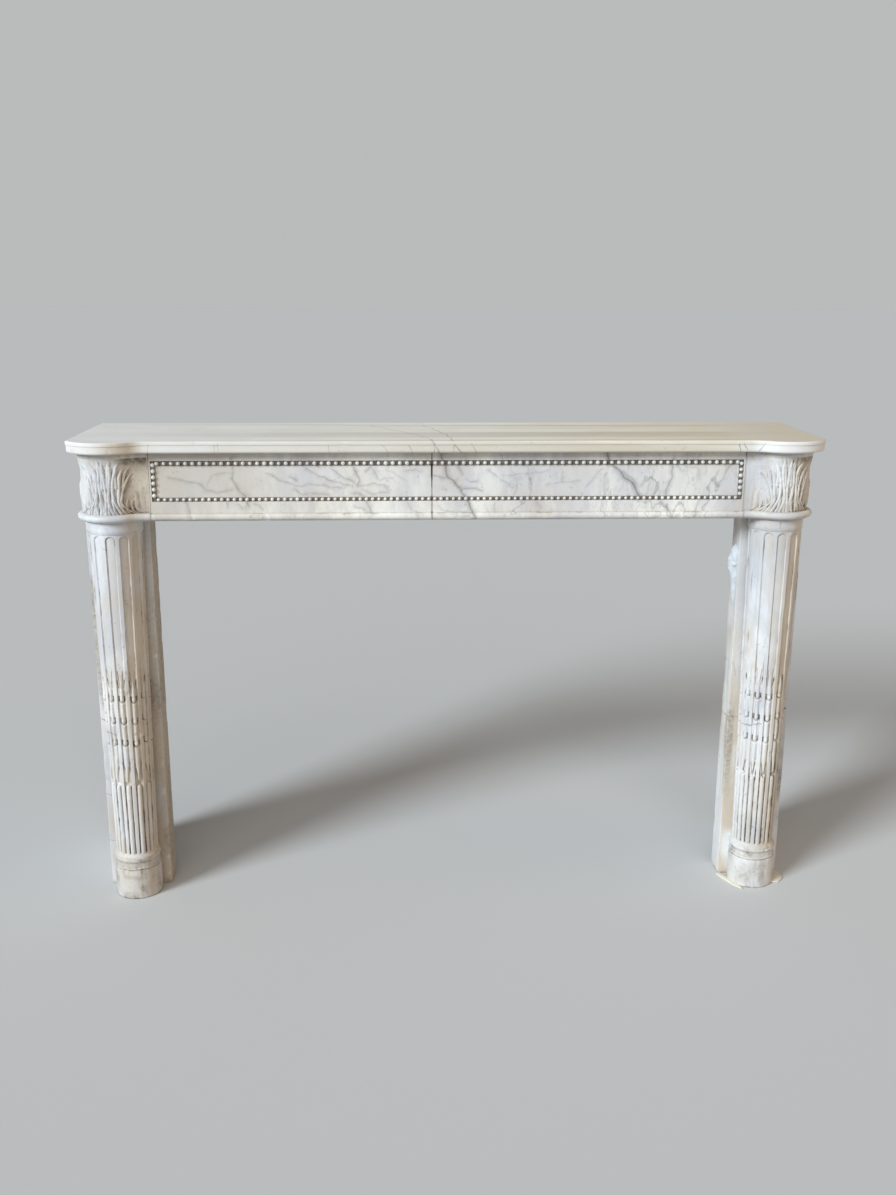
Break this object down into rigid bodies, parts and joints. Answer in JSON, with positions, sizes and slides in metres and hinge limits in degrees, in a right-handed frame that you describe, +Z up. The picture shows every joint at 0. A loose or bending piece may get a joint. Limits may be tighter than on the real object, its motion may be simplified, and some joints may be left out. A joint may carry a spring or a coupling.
{
  "type": "marble fireplace mantel",
  "caption": "Marble fireplace mantel with a bowed moulded shelf, a beaded frieze, leaf-carved corner capitals and tapered fluted columns on round plinths, pinned with iron.",
  "frame": {"origin": "on the floor, in the middle of the width and of the depth", "axes": "+X across the mantel to the viewer's right, +Y to the wall behind, +Z up"},
  "size_m": [1.5, 0.3399, 0.988],
  "materials": {
    "marble": "worn polish",
    "iron": "rusted"
  },
  "bodies": {
    "root": {"shelf": "marble", "frieze_left": "marble", "frieze_right": "marble", "capital_left": "marble", "capital_right": "marble", "column_left": "marble", "column_right": "marble", "plinth_left": "marble", "plinth_right": "marble", "jamb_slab_left": "marble", "jamb_slab_right": "marble", "jamb_return_left": "marble", "jamb_return_right": "marble", "frieze_return_left": "marble", "frieze_return_right": "marble", "frieze_seam_dowels": "iron", "foot_dowel_left": "iron", "foot_dowel_right": "iron", "head_dowel_left": "iron", "head_dowel_right": "iron", "frieze_end_dowels_left": "iron", "frieze_end_dowels_right": "iron", "column_pins_left": "iron", "column_pins_right": "iron", "jamb_pins_left": "iron", "jamb_pins_right": "iron", "frieze_cramp_left": "iron", "frieze_cramp_right": "iron", "return_cramp_left": "iron", "return_cramp_right": "iron"}
  },
  "joints": []
}
